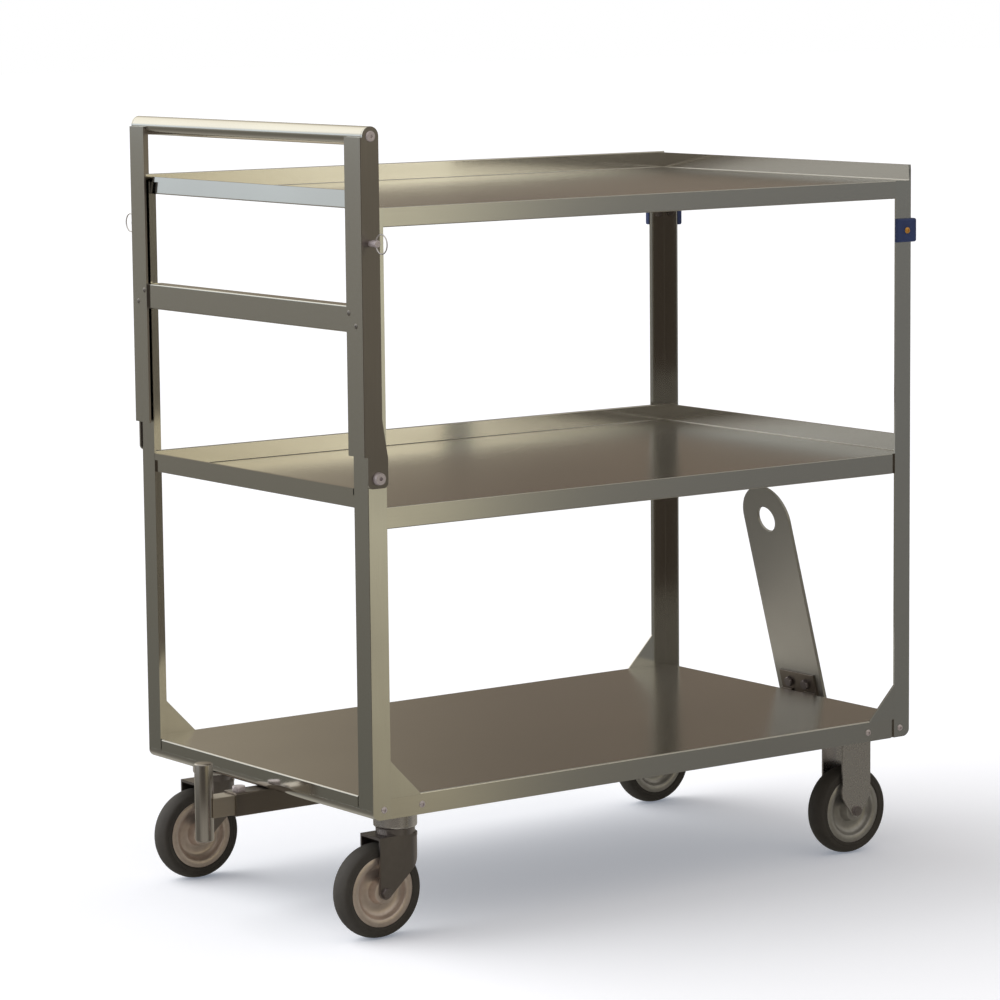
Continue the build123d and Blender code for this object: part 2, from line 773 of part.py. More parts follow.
tongue += through_tongue(tongue_half, tongue_hole_from_axis, 0, (leaf_out, tongue_out))
tongue -= through_tongue(tongue_hole_radius, tongue_hole_from_axis, 0, (leaf_out, tongue_out))
tongue_bolts = []
for bolt_y in (-tongue_bolt_spread, tongue_bolt_spread):
    hole_radius = tongue_bolt_radius + bolt_play
    hole = through_tongue(hole_radius, tongue_bolt_from_axis, bolt_y, (leaf_in, tongue_out))
    leaf -= hole
    tongue -= hole
    seat = tuple(hinge_plane.from_local_coords((tongue_bolt_from_axis, leaf_in, bolt_y)))
    grip = hinge_leaf_sheet + tongue_sheet
    tongue_bolts += hex_bolt(
        seat,
        tongue_normal,
        tongue_bolt_radius,
        grip,
        tongue_bolt_flats,
        tongue_bolt_head,
    )
pieces["tongue_leaf"] = leaf
pieces["tow_tongue"] = tongue
pieces["tongue_bolts"] = tongue_bolts

# Casters: the plate and forks are built about their own axis and then set in place
fork_in = fork_inside / 2
fork_out = fork_in + fork_sheet


def top_plate():
    plate = RectangleRounded(caster_plate_length, caster_plate_width, caster_plate_corner)
    return Pos(0, 0, plate_low) * extrude(plate, amount=caster_plate_sheet) - caster_holes(0, 0)


def both_sides(shape):
    return shape + far_side(shape)


swivel_plate = top_plate() + rod(race_radius, (0, 0, race_low), (0, 0, plate_low))
swivel_plate = fillet(swivel_plate.edges().filter_by(GeomType.CIRCLE).sort_by(Axis.Z)[0], race_round)
swivel_plate -= rod(king_pin_radius + running, (0, 0, race_low), (0, 0, foot_level))
nut_top = crown_low - side_play
king_pin = rod(king_pin_radius, (0, 0, nut_top - king_nut_height), (0, 0, foot_level))
king_pin += hex_prism(king_nut_flats, (nut_top - king_nut_height, nut_top))


# Swivel fork: crown with the lower race, and two legs that run forward to the axle. The rear edge of
# each leg is rolled inwards, and its outline wraps a round heel and a round end
def make_fork():
    crown = Rectangle(crown_front, 2 * fork_out, align=(Align.MAX, Align.CENTER))
    crown += Circle(crown_radius) & Rectangle(crown_radius, 2 * fork_out, align=(Align.MIN, Align.CENTER))
    fork = Pos(0, 0, crown_low) * extrude(crown, amount=crown_sheet)
    fork += rod(cup_radius, (0, 0, crown_top), (0, 0, crown_top + cup_height))
    roll = radians(fork_roll_angle)
    roll_start = fork_back - fork_roll_radius * sin(roll)
    wedge_top = 2 * fork_roll_radius
    wedge = Polygon((0, 0), (wedge_top * sin(roll) / cos(roll), wedge_top), (0, wedge_top), align=None)
    bend = (Circle(fork_roll_radius) - Circle(fork_roll_radius - fork_sheet)) & wedge
    leg_front = -crown_front - fork_end_radius
    section = Polygon(
        (leg_front, fork_in),
        (roll_start, fork_in),
        (roll_start, fork_out),
        (leg_front, fork_out),
        align=None,
    )
    section += Pos(roll_start, fork_out - fork_roll_radius) * bend
    foot = Pos(-caster_trail, wheel_radius) * Circle(fork_end_radius)
    heel = Pos(fork_back - fork_heel_radius, crown_low - fork_heel_radius) * Circle(fork_heel_radius)
    top = Line((-crown_front, crown_top), (fork_back, crown_top))
    side = make_hull(foot.edges() + heel.edges() + [top])
    leg = extrude(section, amount=crown_top, dir=(0, 0, 1)) & across(side, (0, fork_out))
    fork += both_sides(leg)
    fork -= rod(king_pin_radius + running, (0, 0, crown_low), (0, 0, race_low))
    return fork - Pos(-caster_trail, 0, 0) * axle_hole()


# Rigid fork: one pressing with the same bolt pattern, straight legs and round ends
def make_rigid_fork():
    half = rigid_fork_width / 2
    foot = Pos(0, wheel_radius) * Circle(fork_end_radius)
    lines = [Line((-half, level), (half, level)) for level in (wheel_radius + rigid_taper, plate_low)]
    leg = across(make_hull(foot.edges() + lines), (fork_in, fork_out))
    return top_plate() + both_sides(leg) - axle_hole()


def axle_hole():
    return rod(axle_radius + running, (0, -fork_out, wheel_radius), (0, fork_out, wheel_radius))


# Axle: bolt, nut and the sleeve between the fork legs that the hub turns on
def make_axle():
    seat = (0, -fork_out, wheel_radius)
    bolt = hex_bolt(seat, (0, 1, 0), axle_radius, 2 * fork_out, axle_flats, axle_head)
    sleeve = rod(sleeve_radius, (0, -fork_in, wheel_radius), (0, fork_in, wheel_radius))
    sleeve -= rod(axle_radius + running, (0, -fork_in, wheel_radius), (0, fork_in, wheel_radius))
    return bolt + [sleeve]


# Wheel: a hub with a flat ring and a deep dish on each side, and a crowned tyre
def mirrored_profile(points):
    return points + [(radius, -y) for radius, y in reversed(points)]


def make_hub():
    half = hub_length / 2
    rim_half = tread_width / 2 - bead_step
    web_half = hub_web / 2
    bore = sleeve_radius + running
    ring_in = rim_radius - hub_ring
    dish_out = ring_in - hub_draft
    points = [
        (bore, half),
        (hub_boss_radius, half),
        (hub_boss_radius + hub_draft / 2, web_half),
        (dish_out, web_half),
        (ring_in, rim_half),
        (rim_radius, rim_half),
    ]
    profile = Polygon(*mirrored_profile(points), align=None)
    profile = round_corners(profile, [((dish_out, web_half), hub_cove), ((dish_out, -web_half), hub_cove)])
    return revolve(profile, axis=Axis.Y)


def make_tyre():
    half = tread_width / 2
    shoulder = (wheel_radius - tread_crown, half - tyre_lean)
    bead = half - bead_step
    wall = Polyline(
        shoulder,
        (rim_radius + tyre_lip, half),
        (rim_radius, bead),
        (rim_radius, -bead),
        (rim_radius + tyre_lip, -half),
        (shoulder[0], -shoulder[1]),
    )
    tread = ThreePointArc((shoulder[0], -shoulder[1]), (wheel_radius, 0), shoulder)
    return revolve(make_face([wall, tread]), axis=Axis.Y)


fork = make_fork()
rigid_fork = make_rigid_fork()
axle = make_axle()
hub = make_hub()
tyre = make_tyre()
tow_x = frame_length - caster_from_end
caster_bolts = []
for side, y in (("near", -caster_y), ("far", caster_y)):
    swivel_at = Pos(caster_from_end, y, 0)
    pieces["swivel_plate_" + side] = swivel_at * swivel_plate
    pieces["king_pin_" + side] = swivel_at * king_pin
    pieces["swivel_fork_" + side] = swivel_at * fork
    pieces["rigid_fork_" + side] = Pos(tow_x, y, 0) * rigid_fork
    for end, wheel_x in (("swivel", caster_from_end - caster_trail), ("rigid", tow_x)):
        wheel_at = Pos(wheel_x, y, wheel_radius)
        pieces[end + "_axle_" + side] = [Pos(wheel_x, y, 0) * item for item in axle]
        pieces[end + "_hub_" + side] = wheel_at * hub
        pieces[end + "_tyre_" + side] = wheel_at * tyre
    for caster_x in (caster_from_end, tow_x):
        for dx, dy in bolt_places:
            caster_bolts += button_screw(
                (caster_x + dx, y + dy, plate_low),
                (0, 0, 1),
                caster_plate_sheet + leg_sheet,
                caster_bolt_radius,
                caster_bolt_head_radius,
                caster_bolt_head,
                caster_bolt_nut,
            )
pieces["caster_bolts"] = caster_bolts

# The origin is put on the floor under the middle of the whole cart
solids = [Compound(item) if isinstance(item, list) else item for item in pieces.values()]
extent = Compound(solids).bounding_box()
middle = (extent.min.X + extent.max.X) / 2
os.makedirs("parts", exist_ok=True)
for name, solid in zip(pieces, solids):
    export_step(Pos(-middle, 0, 0) * solid, "parts/" + name + ".step")
print("handle end at X", round(-middle, 3), "with", len(pieces), "nodes")
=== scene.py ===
import json
from math import cos, pi, radians, sin, sqrt

import bmesh
import bpy
from mathutils import Matrix, Vector


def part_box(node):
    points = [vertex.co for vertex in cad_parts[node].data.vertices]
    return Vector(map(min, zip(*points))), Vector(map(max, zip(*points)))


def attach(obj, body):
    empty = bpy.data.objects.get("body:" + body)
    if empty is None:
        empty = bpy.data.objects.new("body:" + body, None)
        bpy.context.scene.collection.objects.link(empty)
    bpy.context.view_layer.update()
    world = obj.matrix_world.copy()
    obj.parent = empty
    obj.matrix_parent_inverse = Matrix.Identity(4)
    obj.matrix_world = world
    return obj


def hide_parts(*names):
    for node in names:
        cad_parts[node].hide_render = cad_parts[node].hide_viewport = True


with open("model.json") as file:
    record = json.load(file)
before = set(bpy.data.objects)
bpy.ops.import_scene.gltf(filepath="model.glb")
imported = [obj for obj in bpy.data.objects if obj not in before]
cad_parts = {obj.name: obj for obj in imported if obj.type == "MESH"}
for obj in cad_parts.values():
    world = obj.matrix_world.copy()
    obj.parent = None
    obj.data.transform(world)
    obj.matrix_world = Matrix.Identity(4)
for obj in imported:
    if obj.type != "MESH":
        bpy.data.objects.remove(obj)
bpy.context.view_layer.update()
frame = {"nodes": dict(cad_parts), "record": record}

# Corner legs: four bent angles of stainless sheet that carry everything else, each with a rounded
# foot. The sheet is belt-polished to a satin along its length and bent sharp, and its sheared
# edges are only broken.
MM = 0.001
NODES = frame["nodes"]
BODIES = frame["record"]["behaviour"]["bodies"]
BODY = {node: body for body, nodes in BODIES.items() for node in nodes}


def linear(code):
    """An sRGB hex colour as linear RGBA."""
    parts = [int(code[i:i + 2], 16) / 255 for i in (1, 3, 5)]
    return [c / 12.92 if c <= 0.04045 else ((c + 0.055) / 1.055) ** 2.4 for c in parts] + [1.0]


def add(tree, kind, inputs=None, **settings):
    """One node with its settings; an input is a value or an output socket to link."""
    node = tree.nodes.new(kind)
    for name, value in settings.items():
        setattr(node, name, value)
    for name, value in (inputs or {}).items():
        if isinstance(value, bpy.types.NodeSocket):
            tree.links.new(value, node.inputs[name])
        else:
            node.inputs[name].default_value = value
    return node


def blank_material(name):
    """A material with only its Principled shader and output."""
    material = bpy.data.materials.new(name)
    material.use_nodes = True
    return material, material.node_tree, material.node_tree.nodes["Principled BSDF"]


def satin_metal(name, pale, dull, grain, roughness, line=0.8):
    """Metal polished with a belt along one axis: soft mirror images, a faint grain and slow clouds
    where the belt pressed harder. Real lines are under 0.1 mm apart and are drawn 0.8 mm apart so
    that they show."""
    run, cloud_size, scratch_depth = 90.0, 210.0, 0.1
    streak_share, dull_below, pale_above, gloss_swing = 0.35, 0.42, 0.92, 0.015
    material, tree, shader = blank_material(name)
    stretch = [1 / ((run if axis == grain else line) * MM) for axis in "xyz"]
    place = add(tree, "ShaderNodeTexCoord").outputs["Object"]
    lines = add(tree, "ShaderNodeMapping", {"Vector": place, "Scale": stretch}).outputs["Vector"]
    streak = {"Vector": lines, "Scale": 1.0, "Detail": 1.0}
    streak = add(tree, "ShaderNodeTexNoise", streak).outputs["Fac"]
    cloud = {"Vector": place, "Scale": 1 / (cloud_size * MM), "Detail": 3.0}
    cloud = add(tree, "ShaderNodeTexNoise", cloud).outputs["Fac"]
    worked = {0: streak, 1: streak_share, 2: cloud}
    worked = add(tree, "ShaderNodeMath", worked, operation="MULTIPLY_ADD").outputs[0]
    tone = {"Value": worked, "From Min": dull_below, "From Max": pale_above}
    tone = add(tree, "ShaderNodeMapRange", tone).outputs["Result"]
    colour = {"Factor": tone, "A": linear(dull), "B": linear(pale)}
    colour = add(tree, "ShaderNodeMix", colour, data_type="RGBA").outputs["Result"]
    gloss = {"Value": tone, "To Min": roughness + gloss_swing, "To Max": roughness - gloss_swing}
    gloss = add(tree, "ShaderNodeMapRange", gloss).outputs["Result"]
    relief = {"Height": streak, "Strength": 0.02, "Distance": scratch_depth * MM}
    relief = add(tree, "ShaderNodeBump", relief).outputs["Normal"]
    tree.links.new(colour, shader.inputs["Base Color"])
    tree.links.new(gloss, shader.inputs["Roughness"])
    tree.links.new(relief, shader.inputs["Normal"])
    shader.inputs["Metallic"].default_value = 1.0
    return material


def finish_piece(piece, node, material=None):
    """Colour a mesh that has no material yet, set it on the body of its node and hide the node."""
    if material:
        piece.data.materials.append(material)
    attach(piece, BODY[node])
    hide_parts(node)
    return piece


def merged(node):
    """A copy of a solid's mesh with its loose triangles joined, as a bmesh."""
    work = bmesh.new()
    work.from_mesh(NODES[node].data)
    bmesh.ops.remove_doubles(work, verts=work.verts, dist=0.005 * MM)
    return work


def new_object(name, work, sharp=32):
    """A smooth-shaded object from a bmesh, with edges steeper than the angle left sharp."""
    for face in work.faces:
        face.smooth = True
    mesh = bpy.data.meshes.new(name)
    work.to_mesh(mesh)
    work.free()
    mesh.set_sharp_from_angle(angle=radians(sharp))
    piece = bpy.data.objects.new(name, mesh)
    bpy.context.scene.collection.objects.link(piece)
    return piece


def dress(node, material, edge=0.3):
    """A merged copy of a solid: flat faces stay flat, bends are smooth and edges are broken."""
    work = merged(node)
    bmesh.ops.dissolve_limit(work, angle_limit=radians(0.5), verts=work.verts, edges=work.edges)
    piece = new_object(node + "_dressed", work)
    bevel = piece.modifiers.new("edge", "BEVEL")
    bevel.width = edge * MM
    bevel.segments = 2
    bevel.limit_method = "ANGLE"
    bevel.angle_limit = radians(50)
    flats = piece.modifiers.new("flats", "WEIGHTED_NORMAL")
    flats.weight = 100
    flats.keep_sharp = True
    return finish_piece(piece, node, material)


# The upright grain gives each leg tall, soft images that run together along it.
leg_satin = satin_metal("satin_stainless_upright_grain", "#D9D8D4", "#D4D2CE",
                        grain="z", roughness=0.11)
for leg in ("leg_handle_near", "leg_handle_far", "leg_tow_near", "leg_tow_far"):
    dress(leg, leg_satin)

# Shelves: two folded trays of the same stainless sheet. Three edges turn up into hemmed rims and
# the near edge turns down, so that what they carry slides in. The grain runs along the cart.
rim_facing, fold_tilt, floor_tilt = 0.9, 0.3, 0.98

# The satin shows soft images. Scuffs blur the floors and worn folds don't glint; painted shade
# darkens the floors to a brown-grey and the folds a little. The far rims' inner faces carry a
# painted highlight, paler than the sheet, as they look in the photograph.
shelf_satin = satin_metal("satin_stainless_long_grain", "#D9D7D2", "#D4D1CC",
                          grain="x", roughness=0.11)
floor_scuffed_and_shaded = satin_metal("scuffed_stainless_floor_painted_shade", "#C6C1B9", "#BDB7AF",
                            grain="x", roughness=0.23)
# The rim finish is a painted highlight: a paler colour on the far rims' inner faces.
rim_painted_highlight = satin_metal("satin_stainless_rim_painted_highlight", "#F4F2EC", "#EFECE5",
                        grain="x", roughness=0.11)
fold_worn_and_shaded = satin_metal("worn_stainless_fold_painted_shade", "#CFCCC6", "#C6C2BB",
                        grain="x", roughness=0.42)


def refinish(piece, material, chosen):
    """Give the faces that a test picks another finish."""
    piece.data.materials.append(material)
    for face in piece.data.polygons:
        if chosen(face):
            face.material_index = len(piece.data.materials) - 1


def wear_and_shade_sheet(sheet):
    """Wear and scuff a folded sheet's folds and level faces, darkened as painted shade."""
    refinish(sheet, fold_worn_and_shaded, lambda face: abs(face.normal.z) > fold_tilt)
    refinish(sheet, floor_scuffed_and_shaded, lambda face: abs(face.normal.z) > floor_tilt)


for shelf in ("top_shelf", "middle_shelf"):
    tray = dress(shelf, shelf_satin)
    refinish(tray, rim_painted_highlight, lambda face: face.normal.y < -rim_facing and face.center.y > 0)
    wear_and_shade_sheet(tray)

# Bottom deck, end rails and corner gussets: a flat sheet with turned-down aprons lies on two
# closed channels with a rounded nose. Triangular plates are welded in flush between the aprons
# and the legs. All of it is the same satin sheet; on the rails the grain runs across the cart.
rail_satin = satin_metal("satin_stainless_cross_grain", "#D9D8D4", "#D4D2CE",
                         grain="y", roughness=0.11)
wear_and_shade_sheet(dress("bottom_deck", shelf_satin))
for rail in ("end_rail_handle", "end_rail_tow"):
    dress(rail, rail_satin)
for gusset in ("gusset_handle_near", "gusset_handle_far", "gusset_tow_near", "gusset_tow_far"):
    dress(gusset, leg_satin, edge=0.2)


# Frame screws: button-head screws with a hexagon socket through the legs and aprons, each with a
# nut inside. They are zinc-plated steel, rolled and tumbled, so the plating is slightly mottled.
def mottled_metal(name, pale, dull, roughness, mottle_size=1.2, metallic=1.0):
    """Metal that was plated, cast or turned: a mottle in tone and gloss, and no grain. A frosty
    skin scatters part of the light, so it is less than fully metallic."""
    dull_below, pale_above, gloss_swing = 0.3, 0.7, 0.02
    material, tree, shader = blank_material(name)
    place = add(tree, "ShaderNodeTexCoord").outputs["Object"]
    mottle = {"Vector": place, "Scale": 1 / (mottle_size * MM), "Detail": 2.0}
    mottle = add(tree, "ShaderNodeTexNoise", mottle).outputs["Fac"]
    tone = {"Value": mottle, "From Min": dull_below, "From Max": pale_above}
    tone = add(tree, "ShaderNodeMapRange", tone).outputs["Result"]
    colour = {"Factor": tone, "A": linear(dull), "B": linear(pale)}
    colour = add(tree, "ShaderNodeMix", colour, data_type="RGBA").outputs["Result"]
    gloss = {"Value": tone, "To Min": roughness + gloss_swing, "To Max": roughness - gloss_swing}
    gloss = add(tree, "ShaderNodeMapRange", gloss).outputs["Result"]
    tree.links.new(colour, shader.inputs["Base Color"])
    tree.links.new(gloss, shader.inputs["Roughness"])
    shader.inputs["Metallic"].default_value = metallic
    return material


def fastener_tree(name, sizes):
    """An empty tree with a points input, named sizes, and a finish for the head and the nut."""
    tree = bpy.data.node_groups.new(name, "GeometryNodeTree")
    tree.interface.new_socket("Geometry", in_out="OUTPUT", socket_type="NodeSocketGeometry")
    tree.interface.new_socket("Geometry", in_out="INPUT", socket_type="NodeSocketGeometry")
    for size in sizes:
        tree.interface.new_socket(size, in_out="INPUT", socket_type="NodeSocketFloat")
    for finish in ("Head", "Nut"):
        tree.interface.new_socket(finish, in_out="INPUT", socket_type="NodeSocketMaterial")
    return tree, add(tree, "NodeGroupInput").outputs


def lifted(tree, kind, middle, inputs):
    """A mesh primitive moved along Z to a height that a socket gives."""
    shape = add(tree, kind, inputs).outputs["Mesh"]
    offset = add(tree, "ShaderNodeCombineXYZ", {"Z": middle}).outputs["Vector"]
    moved = {"Geometry": shape, "Translation": offset}
    return add(tree, "GeometryNodeTransform", moved).outputs["Geometry"]


def set_out(tree, given, head, inside):
    """Set a fastener's parts on each point, Z along its aim, make them real and finish them."""
    joined = add(tree, "GeometryNodeJoinGeometry")
    for part in [head] + inside:
        mark = {"Geometry": part, "Name": "inside", "Value": part in inside}
        marked = add(tree, "GeometryNodeStoreNamedAttribute", mark,
                     data_type="BOOLEAN", domain="FACE")
        tree.links.new(marked.outputs["Geometry"], joined.inputs["Geometry"])
    aim = add(tree, "GeometryNodeInputNamedAttribute", {"Name": "aim"}, data_type="FLOAT_VECTOR")
    turn = {"Vector": aim.outputs["Attribute"]}
    turn = add(tree, "FunctionNodeAlignRotationToVector", turn, axis="Z").outputs["Rotation"]
    spots = {"Mesh": given["Geometry"]}
    spots = add(tree, "GeometryNodeMeshToPoints", spots).outputs["Points"]
    placed = {"Points": spots, "Instance": joined.outputs[0], "Rotation": turn}
    placed = add(tree, "GeometryNodeInstanceOnPoints", placed).outputs["Instances"]
    real = add(tree, "GeometryNodeRealizeInstances", {"Geometry": placed}).outputs["Geometry"]
    faced = {"Geometry": real, "Material": given["Head"]}
    faced = add(tree, "GeometryNodeSetMaterial", faced).outputs["Geometry"]
    hidden = add(tree, "GeometryNodeInputNamedAttribute", {"Name": "inside"}, data_type="BOOLEAN")
    done = {"Geometry": faced, "Selection": hidden.outputs["Attribute"], "Material": given["Nut"]}
    done = add(tree, "GeometryNodeSetMaterial", done).outputs["Geometry"]
    add(tree, "NodeGroupOutput", {"Geometry": done})


# A button-head screw is a dome cut flat at its seat and top, with a hexagon socket, a plain shank
# and a nut. Its seat is at the point, with the head below along Z and the shank above.
# The socket is as deep as 0.6 of the head, and the nut is a hair thinner than its place.
socket_share, nut_share = 1.2, 0.96
screw_tree, given = fastener_tree("button_head_screw", (
    "Head Radius", "Head Height", "Dome", "Socket", "Shank", "Grip", "Nut Height"))
squash = {0: given["Dome"], 1: given["Head Radius"]}
squash = add(screw_tree, "ShaderNodeMath", squash, operation="DIVIDE").outputs[0]
squash = {"X": 1.0, "Y": 1.0, "Z": squash}
squash = add(screw_tree, "ShaderNodeCombineXYZ", squash).outputs["Vector"]
dome = {"Segments": 32, "Rings": 16, "Radius": given["Head Radius"]}
dome = add(screw_tree, "GeometryNodeMeshUVSphere", dome).outputs["Mesh"]
dome = {"Geometry": dome, "Scale": squash}
dome = add(screw_tree, "GeometryNodeTransform", dome).outputs["Geometry"]
wide = {0: given["Head Radius"], 1: 2.0}
wide = add(screw_tree, "ShaderNodeMath", wide, operation="MULTIPLY").outputs[0]
middle = {0: given["Head Height"], 1: -0.5}
middle = add(screw_tree, "ShaderNodeMath", middle, operation="MULTIPLY").outputs[0]
slab = {"Vertices": 12, "Radius": wide, "Depth": given["Head Height"]}
slab = lifted(screw_tree, "GeometryNodeMeshCylinder", middle, slab)
cut_flat = add(screw_tree, "GeometryNodeMeshBoolean", operation="INTERSECT", solver="EXACT")
for part in (dome, slab):
    screw_tree.links.new(part, cut_flat.inputs["Mesh 2"])
top = {0: given["Head Height"], 1: -1.0}
top = add(screw_tree, "ShaderNodeMath", top, operation="MULTIPLY").outputs[0]
deep = {0: given["Head Height"], 1: socket_share}
deep = add(screw_tree, "ShaderNodeMath", deep, operation="MULTIPLY").outputs[0]
socket = {"Vertices": 6, "Radius": given["Socket"], "Depth": deep}
socket = lifted(screw_tree, "GeometryNodeMeshCylinder", top, socket)
head = {"Mesh 1": cut_flat.outputs["Mesh"], "Mesh 2": socket}
head = add(screw_tree, "GeometryNodeMeshBoolean", head, operation="DIFFERENCE", solver="EXACT")
reach = {0: given["Grip"], 1: given["Nut Height"]}
reach = add(screw_tree, "ShaderNodeMath", reach).outputs[0]
middle = {0: reach, 1: 0.5}
middle = add(screw_tree, "ShaderNodeMath", middle, operation="MULTIPLY").outputs[0]
shank = {"Vertices": 20, "Radius": given["Shank"], "Depth": reach}
shank = lifted(screw_tree, "GeometryNodeMeshCylinder", middle, shank)
middle = {0: given["Nut Height"], 1: 0.5, 2: given["Grip"]}
middle = add(screw_tree, "ShaderNodeMath", middle, operation="MULTIPLY_ADD").outputs[0]
corner = {0: given["Head Radius"], 1: 2 / sqrt(3)}
corner = add(screw_tree, "ShaderNodeMath", corner, operation="MULTIPLY").outputs[0]
slim = {0: given["Nut Height"], 1: nut_share}
slim = add(screw_tree, "ShaderNodeMath", slim, operation="MULTIPLY").outputs[0]
nut = {"Vertices": 6, "Radius": corner, "Depth": slim}
nut = lifted(screw_tree, "GeometryNodeMeshCylinder", middle, nut)
set_out(screw_tree, given, head.outputs["Mesh"], [shank, nut])


def solids(node):
    """The corners of the box round each separate solid of a node, in millimetres."""
    work = merged(node)
    left, boxes = set(work.verts), []
    while left:
        found, queue = [], [left.pop()]
        while queue:
            vert = queue.pop()
            found.append(vert.co / MM)
            near = [edge.other_vert(vert) for edge in vert.link_edges]
            queue += [other for other in near if other in left]
            left -= set(near)
        low, high = ([pick(co[i] for co in found) for i in range(3)] for pick in (min, max))
        boxes.append((Vector(low), Vector(high)))
    work.free()
    return boxes


def seats(node, axis, sizes, shortest, way=0):
    """Seat and aim of each solid of a node that is longer than the shortest screw, which leaves
    out nuts and washers. With no way given, heads face out."""
    spots, axis, head = [], "xyz".index(axis), sizes["Head Height"]
    for low, high in solids(node):
        if high[axis] - low[axis] > shortest:
            seat = (low + high) / 2
            turn = way or (1 if seat[axis] < 0 else -1)
            seat[axis] = low[axis] + head if turn > 0 else high[axis] - head
            spots.append((seat, [turn if i == axis else 0 for i in range(3)]))
    return spots


def fasteners(node, tree, spots, sizes, finishes):
    """Run a fastener tree over (seat, aim) spots in millimetres and keep its result as a mesh."""
    mesh = bpy.data.meshes.new(node + "_set")
    mesh.from_pydata([[value * MM for value in seat] for seat, aim in spots], [], [])
    aims = mesh.attributes.new("aim", "FLOAT_VECTOR", "POINT")
    for item, (seat, aim) in zip(aims.data, spots):
        item.vector = aim
    piece = bpy.data.objects.new(node + "_set", mesh)
    bpy.context.scene.collection.objects.link(piece)
    run = piece.modifiers.new("run", "NODES")
    run.node_group = tree
    for socket in tree.interface.items_tree:
        if socket.name in sizes:
            run[socket.identifier] = sizes[socket.name] * MM
        if socket.name in finishes:
            run[socket.identifier] = finishes[socket.name]
    made = piece.evaluated_get(bpy.context.evaluated_depsgraph_get())
    done = bpy.data.meshes.new_from_object(made)
    piece.modifiers.remove(run)
    piece.data = done
    done.shade_smooth()
    done.set_sharp_from_angle(angle=radians(35))
    return finish_piece(piece, node)


# Fresh zinc gives pale, frosty heads with a soft shine. Older zinc is a darker, plain grey.
bright_zinc = mottled_metal("frosty_zinc_plated_steel", "#CFC6C9", "#BDB4B7",
                            roughness=0.34, metallic=0.6)
dark_zinc = mottled_metal("dull_zinc_plated_steel", "#948D8F", "#857E80", roughness=0.36)
zinc_pair = {"Head": bright_zinc, "Nut": dark_zinc}
frame_screw = {"Head Radius": 4.5, "Head Height": 2.2, "Dome": 2.4, "Socket": 1.7,
               "Shank": 2.9, "Grip": 5.0, "Nut Height": 4.0}
fasteners("frame_screws", screw_tree, seats("frame_screws", "y", frame_screw, shortest=6.0),
          frame_screw, zinc_pair)

# Corner bumpers: two angle blocks of navy vinyl, moulded with rounded edges. Each sits round a leg
# at the tow end and is held by one turned brass screw.
vinyl_grit, vinyl_bloom, skin_depth = 0.9, 14.0, 0.1

# The moulded skin gives a soft, even navy with a faint grit; the brass is a small warm spot.
navy_vinyl, tree, shader = blank_material("moulded_navy_vinyl")
place = add(tree, "ShaderNodeTexCoord").outputs["Object"]
skin = {"Vector": place, "Scale": 1 / (vinyl_grit * MM), "Detail": 2.0}
skin = add(tree, "ShaderNodeTexNoise", skin).outputs["Fac"]
bloom = {"Vector": place, "Scale": 1 / (vinyl_bloom * MM), "Detail": 2.0}
bloom = add(tree, "ShaderNodeTexNoise", bloom).outputs["Fac"]
navy = {"Factor": bloom, "A": linear("#1A2B5A"), "B": linear("#263A6C")}
navy = add(tree, "ShaderNodeMix", navy, data_type="RGBA").outputs["Result"]
matt = {"Value": skin, "To Min": 0.42, "To Max": 0.6}
matt = add(tree, "ShaderNodeMapRange", matt).outputs["Result"]
relief = {"Height": skin, "Strength": 0.15, "Distance": skin_depth * MM}
relief = add(tree, "ShaderNodeBump", relief).outputs["Normal"]
tree.links.new(navy, shader.inputs["Base Color"])
tree.links.new(matt, shader.inputs["Roughness"])
tree.links.new(relief, shader.inputs["Normal"])
yellow_brass = mottled_metal("turned_yellow_brass", "#E9B25C", "#D0923F",
                             roughness=0.4, metallic=0.7)
for bumper in ("bumper_near", "bumper_far"):
    dress(bumper, navy_vinyl, edge=1.0)
brass_screw = {**frame_screw, "Grip": 9.5}
fasteners("bumper_screws", screw_tree, seats("bumper_screws", "y", brass_screw, shortest=6.0),
          brass_screw, {"Head": yellow_brass, "Nut": dark_zinc})

# Handle frame: two bent angles stand outside the legs at the handle end, and a folded cross bar
# is held between them by blind rivets. The angles' side plates are painted darker, a rough
# grey-brown of painted shade that shows only broad light and dark.
side_facing = 0.7
plate_painted_shade = satin_metal("steel_plate_painted_shade", "#98928F", "#8D8784",
                           grain="z", roughness=0.3)
for upright in ("upright_near", "upright_far"):
    refinish(dress(upright, leg_satin), plate_painted_shade,
             lambda face: abs(face.normal.y) > side_facing)
dress("cross_bar", rail_satin)
blind_rivet = {"Head Radius": 3.6, "Head Height": 0.9, "Dome": 1.0, "Socket": 0.9,
               "Shank": 2.4, "Grip": 5.5, "Nut Height": 0.45}
rivet_seats = seats("cross_bar_rivets", "x", blind_rivet, shortest=0.0, way=1)
# The rivet heads take the plates' darker colour, painted shade too.
fasteners("cross_bar_rivets", screw_tree, rivet_seats, blind_rivet,
          {"Head": plate_painted_shade, "Nut": dark_zinc})


